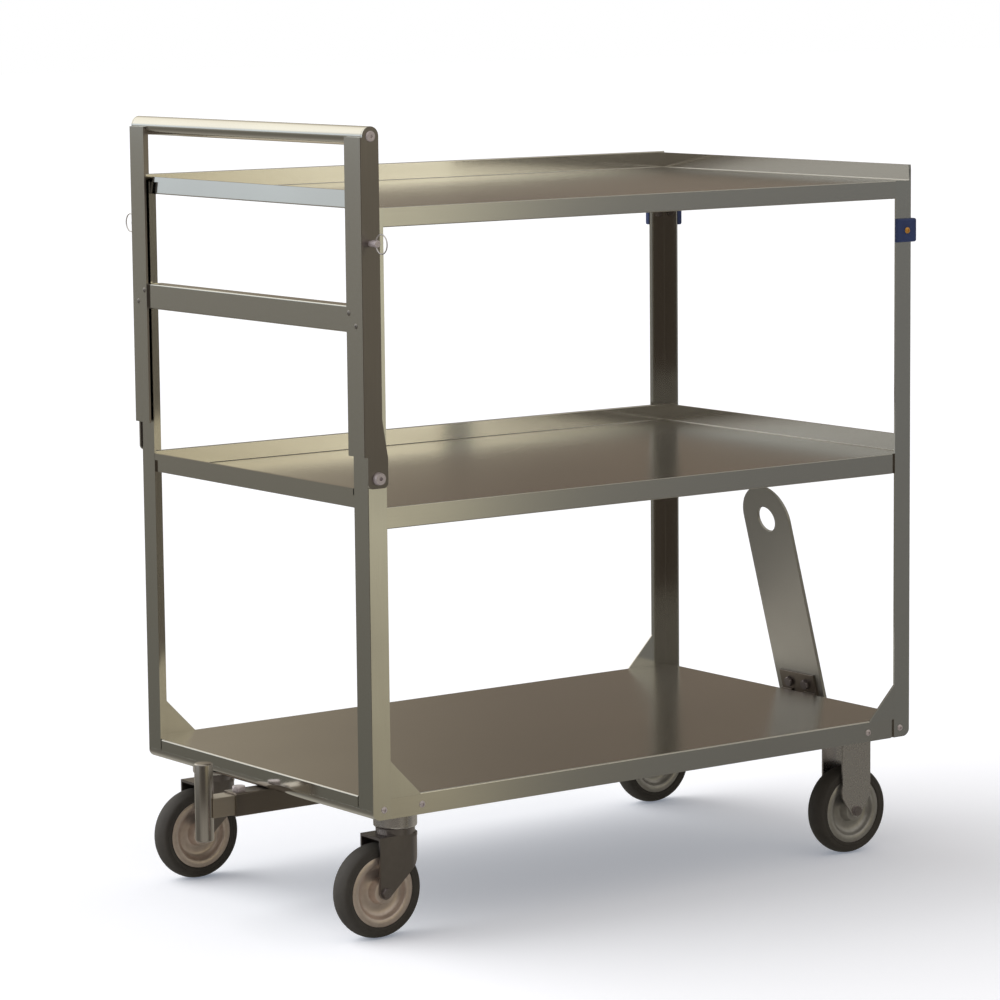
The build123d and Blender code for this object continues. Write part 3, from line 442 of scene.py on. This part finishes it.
# Handle tube: a round stainless tube between the uprights. A plug in each end takes a button-head
# screw through the side plate. The tube is polished brighter than the sheet, so a light line runs
# along its top and a dark band along its lower side.
def turned(name, outline, centre, axis, closed=False, steps=72, sharp=32):
    """A body of revolution: (radius, along) points in millimetres, centre in metres."""
    ahead = Vector(axis).normalized()
    side = ahead.orthogonal().normalized()
    up = ahead.cross(side)
    work = bmesh.new()
    rings = []
    for step in range(steps):
        turn = 2 * pi * step / steps
        out = side * cos(turn) + up * sin(turn)
        spots = [Vector(centre) + (out * r + ahead * t) * MM for r, t in outline]
        rings.append([work.verts.new(spot) for spot in spots])
    count = len(outline)
    for step in range(steps):
        here, there = rings[step], rings[(step + 1) % steps]
        for i in range(count if closed else count - 1):
            j = (i + 1) % count
            work.faces.new((here[i], here[j], there[j], there[i]))
    bmesh.ops.remove_doubles(work, verts=work.verts, dist=0.002 * MM)
    bmesh.ops.recalc_face_normals(work, faces=work.faces)
    return new_object(name, work, sharp)


def middle_of(node):
    """The middle of the box round a node, in metres."""
    low, high = (Vector(corner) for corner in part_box(node))
    return (low + high) / 2


def mirrored(half):
    """A whole outline from the points of its positive half."""
    return half + [(radius, -along) for radius, along in reversed(half)]


tube_radius, tube_wall, tube_lip = 12.5, 1.6, 0.4
low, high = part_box("handle_tube")
tube_half = (high[1] - low[1]) / 2 / MM
tube_bright = satin_metal("polished_stainless_tube", "#E3E1DB", "#DDDAD4",
                          grain="y", roughness=0.12, line=0.6)
tube_end = [(tube_radius - tube_wall, tube_half), (tube_radius - tube_lip, tube_half),
            (tube_radius, tube_half - tube_lip)]
tube = turned("handle_tube_turned", mirrored(tube_end), middle_of("handle_tube"), (0, 1, 0),
              closed=True)
finish_piece(tube, "handle_tube", tube_bright)
tube_screw = {"Head Radius": 7.2, "Head Height": 2.2, "Dome": 4.0, "Socket": 2.4,
              "Shank": 2.9, "Grip": 3.0, "Nut Height": 20.0}
tube_seats = seats("handle_tube_screws", "y", tube_screw, shortest=22.0)
fasteners("handle_tube_screws", screw_tree, tube_seats, tube_screw, zinc_pair)

# Pivot bolts: the handle turns on two shouldered bolts of plated steel, with domed socket heads
# outside, thin washers between the sheets and nuts inside the legs.
pivot_bolt = {"Head Radius": 8.5, "Head Height": 6.0, "Dome": 12.0, "Socket": 2.8,
              "Shank": 4.9, "Grip": 6.8, "Nut Height": 6.0}
pivots = seats("pivot_bolts", "y", pivot_bolt, shortest=8.0)
fasteners("pivot_bolts", screw_tree, pivots, pivot_bolt, {"Head": bright_zinc, "Nut": leg_satin})
washer_in, washer_out, washer_sheet, washer_from_seat, washer_edge = 5.05, 11.0, 1.0, 3.8, 0.2
washer_half = [(washer_in, washer_sheet / 2), (washer_out - washer_edge, washer_sheet / 2),
               (washer_out, washer_sheet / 3)]
for side, (seat, aim) in zip(("first", "second"), pivots):
    centre = (seat + Vector(aim) * washer_from_seat) * MM
    washer = turned(f"pivot_washer_{side}", mirrored(washer_half), centre, aim,
                    closed=True, steps=40)
    finish_piece(washer, "pivot_bolts", dark_zinc)

# Lock pins and pull rings: a turned, zinc-plated pin with a knob on each side locks the handle
# upright, and a ring of thin bright wire in the knob draws it back.
# The drawn wire is nearly white against the plates behind it.
ring_wire = satin_metal("bright_spring_wire", "#F2EFF0", "#E8E4E6", grain="z", roughness=0.35)
ring_radius, wire_radius, wire_steps = 12.4, 0.9, 16
wire_turns = [2 * pi * i / wire_steps for i in range(wire_steps)]
wire_outline = [(ring_radius + wire_radius * cos(t), wire_radius * sin(t)) for t in wire_turns]
for side in ("near", "far"):
    dress("lock_pin_" + side, bright_zinc, edge=0.2)
    ring = turned(f"pull_ring_{side}_bent", wire_outline, middle_of("pull_ring_" + side),
                  (1, 0, 0), closed=True, steps=64, sharp=60)
    finish_piece(ring, "pull_ring_" + side, ring_wire)


# Towing gear at the handle end: a square tube under the deck, a solid square bar bolted into it
# and an upright round pin welded to the bar's end. Tube and bar are plain drawn steel, a soft
# grey with a faint draw grain; the tube is darkened by painted shade, for the shade under the
# deck. The pin is worn bright by what it tows.
def chamfered_hexagon(tree, flats, height, middle, seat):
    """A hexagon prism whose outer corners are turned off by a ball round its seat's middle."""
    top_share = 0.48
    corner = add(tree, "ShaderNodeMath", {0: flats, 1: sqrt(3)}, operation="DIVIDE").outputs[0]
    prism = {"Vertices": 6, "Radius": corner, "Depth": height}
    prism = lifted(tree, "GeometryNodeMeshCylinder", middle, prism)
    inner = {0: flats, 1: top_share}
    inner = add(tree, "ShaderNodeMath", inner, operation="MULTIPLY").outputs[0]
    edge = add(tree, "ShaderNodeCombineXYZ", {"X": inner, "Y": height}).outputs["Vector"]
    reach = add(tree, "ShaderNodeVectorMath", {0: edge}, operation="LENGTH").outputs["Value"]
    ball = {"Segments": 36, "Rings": 24, "Radius": reach}
    ball = lifted(tree, "GeometryNodeMeshUVSphere", seat, ball)
    both = add(tree, "GeometryNodeMeshBoolean", operation="INTERSECT", solver="EXACT")
    for part in (prism, ball):
        tree.links.new(part, both.inputs["Mesh 2"])
    return both.outputs["Mesh"]


bolt_tree, given = fastener_tree("hexagon_bolt", (
    "Flats", "Head Height", "Shank", "Grip", "Nut Height", "End"))
middle = {0: given["Head Height"], 1: -0.5}
middle = add(bolt_tree, "ShaderNodeMath", middle, operation="MULTIPLY").outputs[0]
head = chamfered_hexagon(bolt_tree, given["Flats"], given["Head Height"], middle, 0.0)
middle = {0: given["Nut Height"], 1: 0.5, 2: given["Grip"]}
middle = add(bolt_tree, "ShaderNodeMath", middle, operation="MULTIPLY_ADD").outputs[0]
nut = chamfered_hexagon(bolt_tree, given["Flats"], given["Nut Height"], middle, given["Grip"])
reach = {0: given["Grip"], 1: given["Nut Height"]}
reach = add(bolt_tree, "ShaderNodeMath", reach).outputs[0]
reach = add(bolt_tree, "ShaderNodeMath", {0: reach, 1: given["End"]}).outputs[0]
middle = add(bolt_tree, "ShaderNodeMath", {0: reach, 1: 0.5}, operation="MULTIPLY").outputs[0]
shank = {"Vertices": 24, "Radius": given["Shank"], "Depth": reach}
shank = lifted(bolt_tree, "GeometryNodeMeshCylinder", middle, shank)
set_out(bolt_tree, given, head, [shank, nut])

# The tube's darker colour is painted shade.
drawn_steel_painted_shade = satin_metal("drawn_steel_tube_painted_shade", "#8E8680", "#827A74", grain="x", roughness=0.32)
bright_bar = satin_metal("bright_drawn_steel_bar", "#CFC7BC", "#C4BBAF",
                         grain="x", roughness=0.36)
dress("draw_tube", drawn_steel_painted_shade, edge=0.4)
dress("drawbar", bright_bar, edge=0.4)
drawbar_bolt = {"Flats": 17.0, "Head Height": 6.5, "Shank": 5.0,
                "Grip": 24.0, "Nut Height": 7.0, "End": 1.0}
drawbar_seats = seats("drawbar_bolt", "z", drawbar_bolt, shortest=20.0, way=-1)
fasteners("drawbar_bolt", bolt_tree, drawbar_seats, drawbar_bolt, zinc_pair)
pin_radius, pin_chamfer, chamfer_run, chamfer_edge = 12.5, 1.5, 0.4, 0.1
pin_top = pin_radius - pin_chamfer
low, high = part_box("hitch_pin")
pin_half = (high[2] - low[2]) / 2 / MM
pin_end = [(0.0, pin_half), (pin_top - chamfer_run, pin_half), (pin_top, pin_half - chamfer_edge),
           (pin_radius - chamfer_edge, pin_half - pin_chamfer),
           (pin_radius, pin_half - pin_chamfer - chamfer_run)]
hitch_pin = turned("hitch_pin_turned", mirrored(pin_end), middle_of("hitch_pin"), (0, 0, 1))
worn_pin = satin_metal("worn_round_steel", "#B9B4B0", "#ADA7A2", grain="z", roughness=0.25)
finish_piece(hitch_pin, "hitch_pin", worn_pin)

# Tow tongue: a flat bar of rolled steel with a full round end and an eye, bolted to a leaf that
# hinges on a base at the tow end, so that it stands against the cart when it isn't used.
# The rolled face is matt: an even silver-grey that only fades slowly along the bar.
tongue_satin = satin_metal("rolled_flat_steel_bar", "#B3B2AE", "#ABA9A5",
                           grain="z", roughness=0.4)
dress("tow_tongue", tongue_satin, edge=0.6)
# The hinge base and leaf take the same darkened steel, painted shade.
for plate in ("tongue_hinge_base", "tongue_leaf"):
    dress(plate, drawn_steel_painted_shade)
dress("tongue_hinge_pin", bright_zinc)
tongue_lean, bolt_spread, bolt_up, leaf_in = radians(14.5), 18.0, 27.0, 3.5
joints = frame["record"]["behaviour"]["joints"]
hinge = next(joint for joint in joints if joint["name"] == "tongue_fold")
outwards = Vector((cos(tongue_lean), 0, sin(tongue_lean)))
upwards = Vector((-sin(tongue_lean), 0, cos(tongue_lean)))
hinge_at = Vector(hinge["pos_m"]) / MM + upwards * bolt_up + outwards * leaf_in
tongue_seats = [(hinge_at + Vector((0, y, 0)), outwards) for y in (-bolt_spread, bolt_spread)]
tongue_bolt = {"Flats": 14.0, "Head Height": 5.0, "Shank": 4.0,
               "Grip": 8.5, "Nut Height": 6.0, "End": 2.0}
dark_pair = {"Head": dark_zinc, "Nut": dark_zinc}
fasteners("tongue_bolts", bolt_tree, tongue_seats, tongue_bolt, dark_pair)

# Casters: forks pressed from zinc-plated steel under bolted plates, two of them turning on ball
# races. A cast alloy hub with a flat ring and a deep dish carries a moulded dark rubber tyre, and
# turns on a sleeve round a hexagon bolt.
pressing_mottle, alloy_mottle, rubber_grit, rubber_bloom, grit_depth = 9.0, 6.0, 1.1, 17.0, 0.1

# The pressings are smooth greys with a slow mottle, the darker ones on the swivel forks. The cast
# alloy is matt and faintly warm; on the rigid wheels it is darker, painted shade, as they look in
# the photograph.
dark_pressing = mottled_metal("dark_zinc_plated_pressing", "#8F8989", "#8A8484",
                              roughness=0.3, mottle_size=pressing_mottle)
grey_pressing = mottled_metal("grey_zinc_plated_pressing", "#CDC9C9", "#C8C4C4",
                              roughness=0.27, mottle_size=pressing_mottle)
fork_plating = {"swivel": dark_pressing, "rigid": grey_pressing}
hub_alloys = {"swivel": mottled_metal("matt_cast_alloy", "#D8CAC1", "#CFC0B6",
                                      roughness=0.36, mottle_size=alloy_mottle, metallic=0.8),
              "rigid": mottled_metal("cast_alloy_painted_shade", "#AFADAA", "#A5A3A0",
                                     roughness=0.36, mottle_size=alloy_mottle, metallic=0.8)}

# The rubber is a soft brown-black with hardly any shine, a fine grit and a paler bloom in patches.
rubber, tree, shader = blank_material("moulded_dark_rubber")
place = add(tree, "ShaderNodeTexCoord").outputs["Object"]
grit = {"Vector": place, "Scale": 1 / (rubber_grit * MM), "Detail": 2.0}
grit = add(tree, "ShaderNodeTexNoise", grit).outputs["Fac"]
bloom = {"Vector": place, "Scale": 1 / (rubber_bloom * MM), "Detail": 3.0}
bloom = add(tree, "ShaderNodeTexNoise", bloom).outputs["Fac"]
black = {"Factor": bloom, "A": linear("#35322F"), "B": linear("#423F3A")}
black = add(tree, "ShaderNodeMix", black, data_type="RGBA").outputs["Result"]
matt = {"Value": grit, "To Min": 0.6, "To Max": 0.8}
matt = add(tree, "ShaderNodeMapRange", matt).outputs["Result"]
relief = {"Height": grit, "Strength": 0.12, "Distance": grit_depth * MM}
relief = add(tree, "ShaderNodeBump", relief).outputs["Normal"]
tree.links.new(black, shader.inputs["Base Color"])
tree.links.new(matt, shader.inputs["Roughness"])
tree.links.new(relief, shader.inputs["Normal"])
shader.inputs["Specular IOR Level"].default_value = 0.3

tyre_half = [(47.5, 14.3), (48.3, 15.2), (49.8, 15.8), (51.0, 16.0), (52.3, 15.7),
             (52.8, 15.35), (53.4, 15.3), (54.0, 15.6), (56.4, 15.5), (58.2, 15.1),
             (59.4, 14.2), (60.4, 12.5), (61.75, 9.5), (62.9, 5.5), (63.4, 2.0)]
hub_half = [(7.05, 19.0), (13.6, 19.0), (14.8, 18.5), (15.3, 17.4), (16.6, 7.6), (17.6, 5.7),
            (19.6, 4.9), (28.0, 4.9), (30.8, 5.4), (33.2, 6.9), (35.0, 9.2), (36.5, 12.0),
            (37.5, 13.9), (38.5, 14.5), (46.6, 14.5), (47.45, 13.9)]
sleeve_half = [(4.05, 20.0), (6.8, 20.0), (7.0, 19.8)]
wheel_shape = {"axis": (0, 1, 0), "closed": True, "steps": 96, "sharp": 40}
sleeve_shape = {"axis": (0, 1, 0), "closed": True, "steps": 40}
axle_bolt = {"Flats": 13.0, "Head Height": 4.5, "Shank": 4.0,
             "Grip": 46.0, "Nut Height": 6.0, "End": 2.0}
for end in ("swivel", "rigid"):
    for side in ("near", "far"):
        hub, tyre, axle = f"{end}_hub_{side}", f"{end}_tyre_{side}", f"{end}_axle_{side}"
        centre = middle_of(hub)
        moulded = turned(tyre + "_moulded", mirrored(tyre_half), centre, **wheel_shape)
        finish_piece(moulded, tyre, rubber)
        cast = turned(hub + "_cast", mirrored(hub_half), centre, **wheel_shape)
        finish_piece(cast, hub, hub_alloys[end])
        sleeve = turned(f"{end}_sleeve_{side}", mirrored(sleeve_half), centre, **sleeve_shape)
        finish_piece(sleeve, axle, dark_zinc)
        axle_seats = seats(axle, "y", axle_bolt, shortest=50.0, way=1)
        fasteners(axle, bolt_tree, axle_seats, axle_bolt, dark_pair)
        dress(f"{end}_fork_{side}", fork_plating[end])
for side in ("near", "far"):
    dress(f"swivel_plate_{side}", grey_pressing)
    dress(f"king_pin_{side}", dark_zinc)
caster_bolt = {"Head Radius": 6.5, "Head Height": 2.2, "Dome": 3.0, "Socket": 2.4,
               "Shank": 4.0, "Grip": 5.5, "Nut Height": 6.4}
caster_seats = seats("caster_bolts", "z", caster_bolt, shortest=8.0, way=1)
fasteners("caster_bolts", screw_tree, caster_seats, caster_bolt, zinc_pair)

# Floor: a plain white sheet of matt paper that keeps the cart's soft shadow. It is lit as the
# cart is, and only the camera sees it lifted to white.
floor_reach, floor_lift = 40.0, 0.25
floor_corners = [(x * floor_reach, y * floor_reach, 0)
                 for x, y in ((-1, -1), (1, -1), (1, 1), (-1, 1))]
floor_mesh = bpy.data.meshes.new("floor")
floor_mesh.from_pydata(floor_corners, [], [(0, 1, 2, 3)])
floor = bpy.data.objects.new("floor", floor_mesh)
bpy.context.scene.collection.objects.link(floor)
white_floor, tree, shader = blank_material("white_studio_floor")
shader.inputs["Base Color"].default_value = linear("#F4F4F4")
shader.inputs["Roughness"].default_value = 0.9
shader.inputs["Specular IOR Level"].default_value = 0.0
seen = add(tree, "ShaderNodeLightPath").outputs["Is Camera Ray"]
lift = add(tree, "ShaderNodeMath", {0: seen, 1: floor_lift}, operation="MULTIPLY").outputs[0]
shader.inputs["Emission Color"].default_value = linear("#DCE9FF")
tree.links.new(lift, shader.inputs["Emission Strength"])
floor_mesh.materials.append(white_floor)
floor.visible_glossy = False

# Studio light: an even, faintly warm world, and a broad, faintly blue sun from the upper left and
# a little behind the cart, as the camera sees it.
world_level, world_tint = 0.56, "#FFF7EE"
world = bpy.data.worlds.new("studio")
bpy.context.scene.world = world
world.use_nodes = True
tree = world.node_tree
background = tree.nodes["Background"]
path = add(tree, "ShaderNodeLightPath")
seen = {0: path.outputs["Is Camera Ray"], 1: path.outputs["Is Glossy Ray"]}
seen = add(tree, "ShaderNodeMath", seen, operation="MAXIMUM").outputs[0]
seen = {0: seen, 1: path.outputs["Is Transmission Ray"]}
seen = add(tree, "ShaderNodeMath", seen, operation="MAXIMUM").outputs[0]
level = {"Value": seen, "To Min": world_level, "To Max": 1.0}
level = add(tree, "ShaderNodeMapRange", level).outputs["Result"]
tint = {"Factor": seen, "A": linear(world_tint), "B": linear("#FFFFFF")}
tint = add(tree, "ShaderNodeMix", tint, data_type="RGBA").outputs["Result"]
tree.links.new(level, background.inputs["Strength"])
tree.links.new(tint, background.inputs["Color"])

sun_heading = Vector((0.62, -0.64, -0.6))
sun = bpy.data.lights.new("sun", "SUN")
sun.energy = 2.6
sun.color = linear("#F9FBFF")[:3]
sun.angle = radians(75)
sun_lamp = bpy.data.objects.new("sun", sun)
bpy.context.scene.collection.objects.link(sun_lamp)
sun_lamp.rotation_euler = sun_heading.to_track_quat("-Z", "Y").to_euler()

# Studio panels: seven rings of plain colour far round the studio, which only reflections show. A
# tall cream window stands to the right of the camera, the camera's own side is dark below 13
# degrees, and the side behind the cart is pale.
panel_strength, dome_radius = 1.6, 150.0

# Each ring takes over from the one below it between two elevations in degrees, and its colours
# stand at bearings in turns from -X through -Y.
panel_rings = [
    # underneath, in place of the floor
    (-90.0, -89.0, [
        (0.0, "#77746C"), (0.1, "#8A877E"), (0.25, "#8A877E"), (0.32, "#504D46"),
        (0.37, "#504D46"), (0.46, "#86837A"), (0.76, "#86837A"), (0.82, "#5A5750"),
        (0.88, "#5A5750")]),
    # foot of the window
    (-15.0, -12.0, [
        (0.0, "#66635B"), (0.1, "#39332C"), (0.2, "#352E28"), (0.24, "#5A574F"),
        (0.31, "#5A574F"), (0.325, "#352E28"), (0.3395, "#352E28"), (0.3425, "#9A937D"),
        (0.3472, "#9A937D"), (0.3498, "#5A5955"), (0.38, "#5A5955"), (0.46, "#86837A"),
        (0.76, "#86837A"), (0.82, "#52514A"), (0.92, "#52514A")]),
    # lower half of the window
    (-12.0, -2.5, [
        (0.0, "#6E6B63"), (0.1, "#39332C"), (0.2, "#352E28"), (0.24, "#5A574F"),
        (0.31, "#5A574F"), (0.325, "#352E28"), (0.3395, "#352E28"), (0.3425, "#DFDBC0"),
        (0.3463, "#DFDBC0"), (0.3487, "#636361"), (0.38, "#636361"), (0.46, "#86837A"),
        (0.76, "#86837A"), (0.82, "#6F6C64"), (0.92, "#6F6C64")]),
    # brightest part of the window, at the horizon
    (-2.0, 1.5, [
        (0.0, "#787771"), (0.08, "#494743"), (0.2, "#494743"), (0.25, "#A39A7B"),
        (0.338, "#B5AC8D"), (0.345, "#F8F3DD"), (0.349, "#F8F3DD"), (0.354, "#7E807A"),
        (0.4, "#86837B"), (0.58, "#86837B"), (0.62, "#73675A"), (0.643, "#73675A"),
        (0.65, "#675C52"), (0.66, "#6E6659"), (0.73, "#A9A8A1"), (0.82, "#B5BDC2"),
        (0.847, "#B5BDC2"), (0.858, "#A2A6A5"), (0.95, "#9A9E9F")]),
    # top of the window, and the pale wall behind the cart
    (5.5, 13.0, [
        (0.0, "#77746C"), (0.08, "#403D38"), (0.2, "#403D38"), (0.26, "#77725F"),
        (0.335, "#77725F"), (0.343, "#CFC8AC"), (0.349, "#CFC8AC"), (0.354, "#5C5C59"),
        (0.4, "#86837B"), (0.58, "#86837B"), (0.62, "#554C43"), (0.65, "#554C43"),
        (0.661, "#857E6F"), (0.72, "#D8D4C6"), (0.836, "#DEDCD2"), (0.85, "#8F8E88"),
        (0.95, "#8F8E88")]),
    # plain upper walls
    (13.5, 17.5, [
        (0.0, "#9A978F"), (0.1, "#9D9A92"), (0.3, "#9D9A92"), (0.36, "#96938B"),
        (0.58, "#96938B"), (0.62, "#66645E"), (0.65, "#66645E"), (0.661, "#857E6F"),
        (0.72, "#D8D4C6"), (0.836, "#DEDCD2"), (0.85, "#8F8E88"), (0.95, "#8F8E88")]),
    # ceiling
    (38.0, 50.0, [(0.0, "#A8A59D"), (0.5, "#B2AFA6")])]
work = bmesh.new()
bmesh.ops.create_uvsphere(work, u_segments=96, v_segments=48, radius=dome_radius)
bmesh.ops.reverse_faces(work, faces=work.faces)
surround = new_object("studio_panels", work, sharp=180)
panels = bpy.data.materials.new("studio_panel_light")
panels.use_nodes = True
panels.cycles.emission_sampling = "NONE"
tree = panels.node_tree
tree.nodes.clear()
place = add(tree, "ShaderNodeTexCoord").outputs["Object"]
bearing = add(tree, "ShaderNodeTexGradient", {"Vector": place}, gradient_type="RADIAL")
height = add(tree, "ShaderNodeSeparateXYZ", {"Vector": place}).outputs["Z"]
walls = linear("#77746C")
for start, end, stops in panel_rings:
    ramp = add(tree, "ShaderNodeValToRGB", {"Fac": bearing.outputs["Fac"]})
    stripe = ramp.color_ramp
    while len(stripe.elements) < len(stops):
        stripe.elements.new(0.5)
    for element, (at, code) in zip(stripe.elements, stops):
        element.position = at
        element.color = linear(code)
    low, high = (dome_radius * sin(radians(angle)) for angle in (start, end))
    share = {"Value": height, "From Min": low, "From Max": high}
    share = add(tree, "ShaderNodeMapRange", share).outputs["Result"]
    walls = {"Factor": share, "A": walls, "B": ramp.outputs["Color"]}
    walls = add(tree, "ShaderNodeMix", walls, data_type="RGBA").outputs["Result"]
glow = {"Color": walls, "Strength": panel_strength}
glow = add(tree, "ShaderNodeEmission", glow).outputs["Emission"]
add(tree, "ShaderNodeOutputMaterial", {"Surface": glow})
surround.data.materials.append(panels)
surround.visible_camera = False
surround.visible_diffuse = False
surround.visible_shadow = False

# Camera: a long lens at the photograph's place, off the handle end's near leg, turned and levelled
# as there.
back_along, back_across, camera_height = 2.82133, 4.15006, 1.2573
yaw, pitch, roll = radians(36.13), radians(7.616), radians(-0.576)
camera_data = bpy.data.cameras.new("camera")
camera_data.sensor_width = 36.0
camera_data.lens = 142.65
camera = bpy.data.objects.new("camera", camera_data)
bpy.context.scene.collection.objects.link(camera)
ahead = Vector((sin(yaw) * cos(pitch), cos(yaw) * cos(pitch), -sin(pitch)))
level_right = Vector((cos(yaw), -sin(yaw), 0))
level_up = level_right.cross(ahead)
right = cos(roll) * level_right + sin(roll) * level_up
up = cos(roll) * level_up - sin(roll) * level_right
turn = Matrix((right, up, -ahead)).transposed().to_4x4()
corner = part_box("leg_handle_near")[0]
stand = Matrix.Translation((corner[0] - back_along, corner[1] - back_across, camera_height))
camera.matrix_world = stand @ turn
bpy.context.scene.camera = camera
bpy.context.scene.view_settings.view_transform = "Standard"
